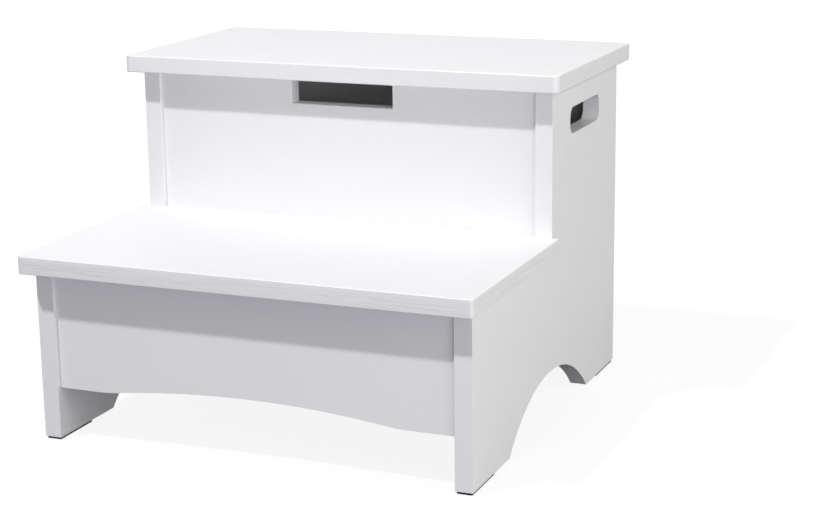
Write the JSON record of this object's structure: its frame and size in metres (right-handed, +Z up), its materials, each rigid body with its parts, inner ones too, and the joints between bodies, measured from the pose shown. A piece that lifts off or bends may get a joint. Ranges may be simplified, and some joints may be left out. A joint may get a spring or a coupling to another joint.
{
  "type": "step stool",
  "caption": "Two-step painted wooden step stool with a storage box under its hinged top step, hand slots in the sides and arched feet.",
  "frame": {"origin": "on the floor, below the middle of the whole stool", "axes": "+X across the steps to the right seen from the front, +Y from the front of the lower step to the back, +Z up"},
  "size_m": [0.404, 0.4, 0.3],
  "materials": {
    "white_lacquer": "satin white lacquer on fibreboard",
    "bare_board": "bare fibreboard",
    "pine": "planed pine, unfinished",
    "beech": "turned beech, unfinished",
    "zinc_screw": "zinc plated",
    "hinge_steel": "nickel plated, brushed",
    "hinge_screw": "nickel plated",
    "pad_rubber": "matt black",
    "bumper_rubber": "milky, slightly shiny"
  },
  "bodies": {
    "carcass": {"side_panel_left": "white_lacquer", "side_panel_right": "white_lacquer", "lower_riser": "white_lacquer", "upper_riser": "white_lacquer", "back_panel": "white_lacquer", "lower_tread": "white_lacquer", "box_floor": "bare_board", "tread_cleat_left": "pine", "tread_cleat_right": "pine", "floor_cleat_left": "pine", "floor_cleat_right": "pine", "lower_riser_dowel_left_low": "beech", "lower_riser_dowel_left_high": "beech", "lower_riser_dowel_right_low": "beech", "lower_riser_dowel_right_high": "beech", "upper_riser_dowel_left_low": "beech", "upper_riser_dowel_left_high": "beech", "upper_riser_dowel_right_low": "beech", "upper_riser_dowel_right_high": "beech", "back_panel_dowel_left_low": "beech", "back_panel_dowel_left_high": "beech", "back_panel_dowel_right_low": "beech", "back_panel_dowel_right_high": "beech", "tread_screw_1": "zinc_screw", "tread_screw_2": "zinc_screw", "tread_screw_3": "zinc_screw", "tread_screw_4": "zinc_screw", "floor_screw_1": "zinc_screw", "floor_screw_2": "zinc_screw", "floor_screw_3": "zinc_screw", "floor_screw_4": "zinc_screw", "hinge_left_fixed_leaf": "hinge_steel", "hinge_right_fixed_leaf": "hinge_steel", "hinge_left_pin": "hinge_steel", "hinge_right_pin": "hinge_steel", "hinge_back_screw_1": "hinge_screw", "hinge_back_screw_2": "hinge_screw", "hinge_back_screw_3": "hinge_screw", "hinge_back_screw_4": "hinge_screw", "foot_pad_front_left": "pad_rubber", "foot_pad_front_right": "pad_rubber", "foot_pad_back_left": "pad_rubber", "foot_pad_back_right": "pad_rubber", "lid_bumper_left": "bumper_rubber", "lid_bumper_right": "bumper_rubber"},
    "lid": {"lid": "white_lacquer", "hinge_left_lid_leaf": "hinge_steel", "hinge_right_lid_leaf": "hinge_steel", "hinge_lid_screw_1": "hinge_screw", "hinge_lid_screw_2": "hinge_screw", "hinge_lid_screw_3": "hinge_screw", "hinge_lid_screw_4": "hinge_screw"}
  },
  "joints": [
    {"name": "lid_hinge", "type": "hinge", "parent": "carcass", "child": "lid", "pos_m": [0, 0.1906, 0.2819], "axis": [-1, 0, 0], "range_deg": [0, 110]}
  ]
}
